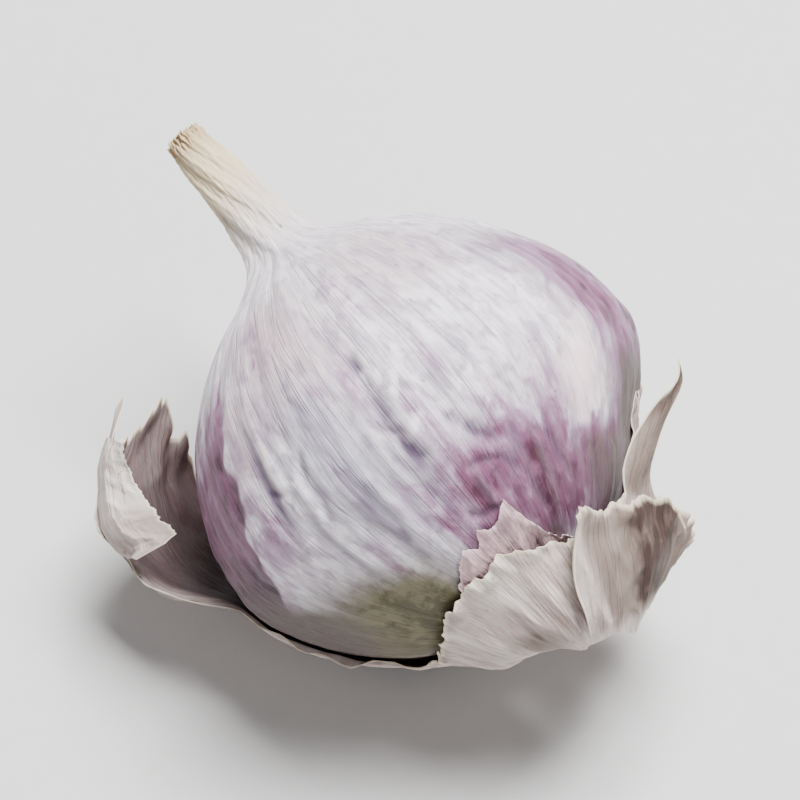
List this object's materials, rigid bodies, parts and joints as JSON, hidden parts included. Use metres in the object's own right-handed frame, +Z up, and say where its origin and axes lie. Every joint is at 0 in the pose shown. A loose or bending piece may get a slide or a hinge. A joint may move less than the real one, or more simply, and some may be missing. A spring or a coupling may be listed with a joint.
{
  "type": "garlic bulb",
  "caption": "Small round garlic bulb lying on its side, with a long dry neck, a torn papery outer husk round the root end and a tuft of dry roots.",
  "frame": {"origin": "centre of the small flat spot on the underside that the bulb rests on", "axes": "+Z up; the bulb's axis lies in the XZ plane, with the neck pointing to -X and raised 16 degrees, and the root end facing +X"},
  "size_m": [0.0301, 0.0231, 0.0208],
  "materials": {
    "bulb_skin": "smooth papery garlic skin with a soft sheen, white with lilac and purple stripes along fine raised veins, cream on the neck",
    "husk_paper": "thin dry crinkled husk, pale grey-beige with pinkish stains and creamy torn edges",
    "dry_root": "rough dry straw-brown root plate and roots"
  },
  "bodies": {
    "root": {"bulb": "bulb_skin", "torn_husk": "husk_paper", "root_plate": "dry_root"}
  },
  "joints": []
}
